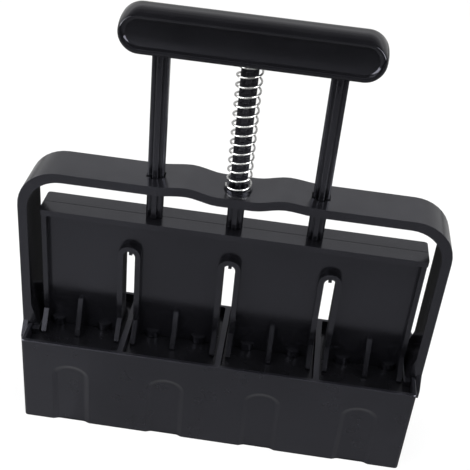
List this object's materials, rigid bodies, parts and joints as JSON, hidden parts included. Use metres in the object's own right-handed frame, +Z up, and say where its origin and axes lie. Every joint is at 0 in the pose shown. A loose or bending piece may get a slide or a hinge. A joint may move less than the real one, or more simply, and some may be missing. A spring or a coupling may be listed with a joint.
{
  "type": "soil blocker",
  "caption": "Hand-held soil block press: a row of open square cells under an arched frame, with a sprung plunger, ribbed posts and a bar handle",
  "frame": {"origin": "middle of the box's mouth, on the ground plane", "axes": "+X along the row of cells, +Y from front to back, +Z up"},
  "size_m": [0.2192, 0.0542, 0.24],
  "materials": {
    "mould_plastic": "satin moulded plastic, charcoal black",
    "frame_plastic": "glossy moulded plastic, charcoal black",
    "pusher_plastic": "satin moulded plastic, charcoal black",
    "plate_plastic": "matt moulded plastic, black",
    "dibble_plastic": "matt moulded plastic, black",
    "post_plastic": "satin moulded plastic, black",
    "handle_plastic": "glossy moulded plastic, black",
    "cover_plastic": "glossy moulded plastic, black",
    "spring_steel": "bright drawn spring wire",
    "screw_steel": "zinc-plated steel"
  },
  "bodies": {
    "base": {"mould_box": "mould_plastic", "frame_arch": "frame_plastic", "return_spring": "spring_steel"},
    "plunger": {"pusher_front_half": "pusher_plastic", "pusher_rear_half": "pusher_plastic", "post_left": "post_plastic", "post_centre": "post_plastic", "post_right": "post_plastic", "handle_body": "handle_plastic", "handle_cover": "cover_plastic", "press_plate_1": "plate_plastic", "press_plate_2": "plate_plastic", "press_plate_3": "plate_plastic", "press_plate_4": "plate_plastic", "dibble_pin_1": "dibble_plastic", "dibble_pin_2": "dibble_plastic", "dibble_pin_3": "dibble_plastic", "dibble_pin_4": "dibble_plastic", "plate_screw_1_left": "screw_steel", "plate_screw_1_right": "screw_steel", "plate_screw_2_left": "screw_steel", "plate_screw_2_right": "screw_steel", "plate_screw_3_left": "screw_steel", "plate_screw_3_right": "screw_steel", "plate_screw_4_left": "screw_steel", "plate_screw_4_right": "screw_steel", "handle_screw_1": "screw_steel", "handle_screw_2": "screw_steel", "handle_screw_3": "screw_steel", "handle_screw_4": "screw_steel", "handle_screw_5": "screw_steel"}
  },
  "joints": [
    {"name": "plunger_slide", "type": "slide", "parent": "base", "child": "plunger", "axis": [0, 0, -1], "range_m": [0, 0.0467], "stiffness_N_per_m": 400, "springref_m": -0.012, "deforming": ["return_spring"]}
  ]
}
